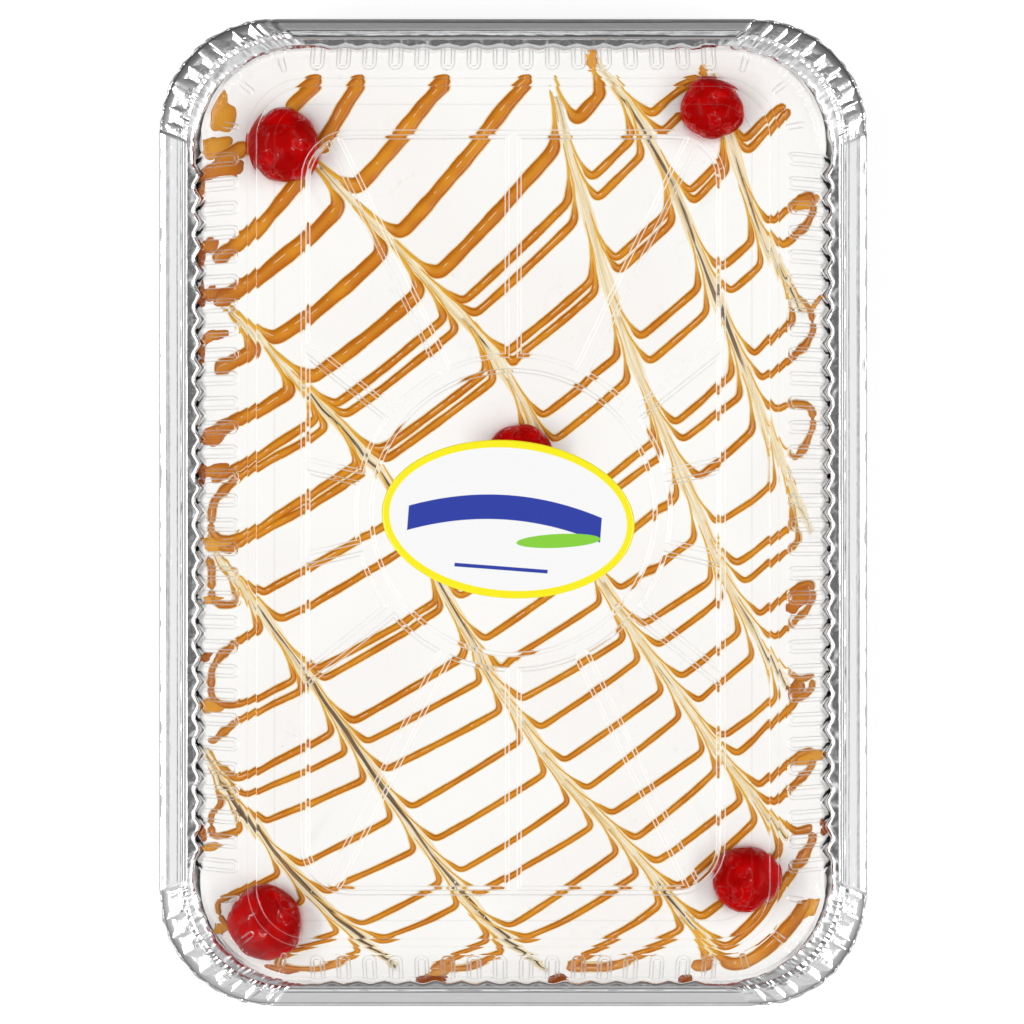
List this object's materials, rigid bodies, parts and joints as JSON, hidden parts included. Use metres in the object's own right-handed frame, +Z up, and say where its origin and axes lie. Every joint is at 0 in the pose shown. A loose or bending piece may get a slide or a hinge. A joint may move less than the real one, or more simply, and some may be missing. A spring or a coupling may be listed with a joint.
{
  "type": "tres leches cake in lidded foil tray",
  "caption": "Oblong cream-topped cake with caramel lines and cherries in a shallow foil tray, shut under a clear fluted dome lid with an oval label.",
  "frame": {"origin": "on the ground, at the middle of the tray's outline", "axes": "+Z up, +Y along the tray's long way, towards the edge that is at the top of the picture; +X to the picture's right"},
  "size_m": [0.215, 0.3, 0.0606],
  "materials": {
    "foil": "bright crinkled foil",
    "cake": "smooth whipped cream with glossy caramel",
    "cherry": "wet and glossy",
    "lid": "thin clear plastic",
    "label": "coated paper"
  },
  "bodies": {
    "root": {"foil_tray": "foil", "cake": "cake", "cherry_rear_left": "cherry", "cherry_rear_right": "cherry", "cherry_middle": "cherry", "cherry_front_left": "cherry", "cherry_front_right": "cherry", "lid": "lid", "label": "label"}
  },
  "joints": []
}
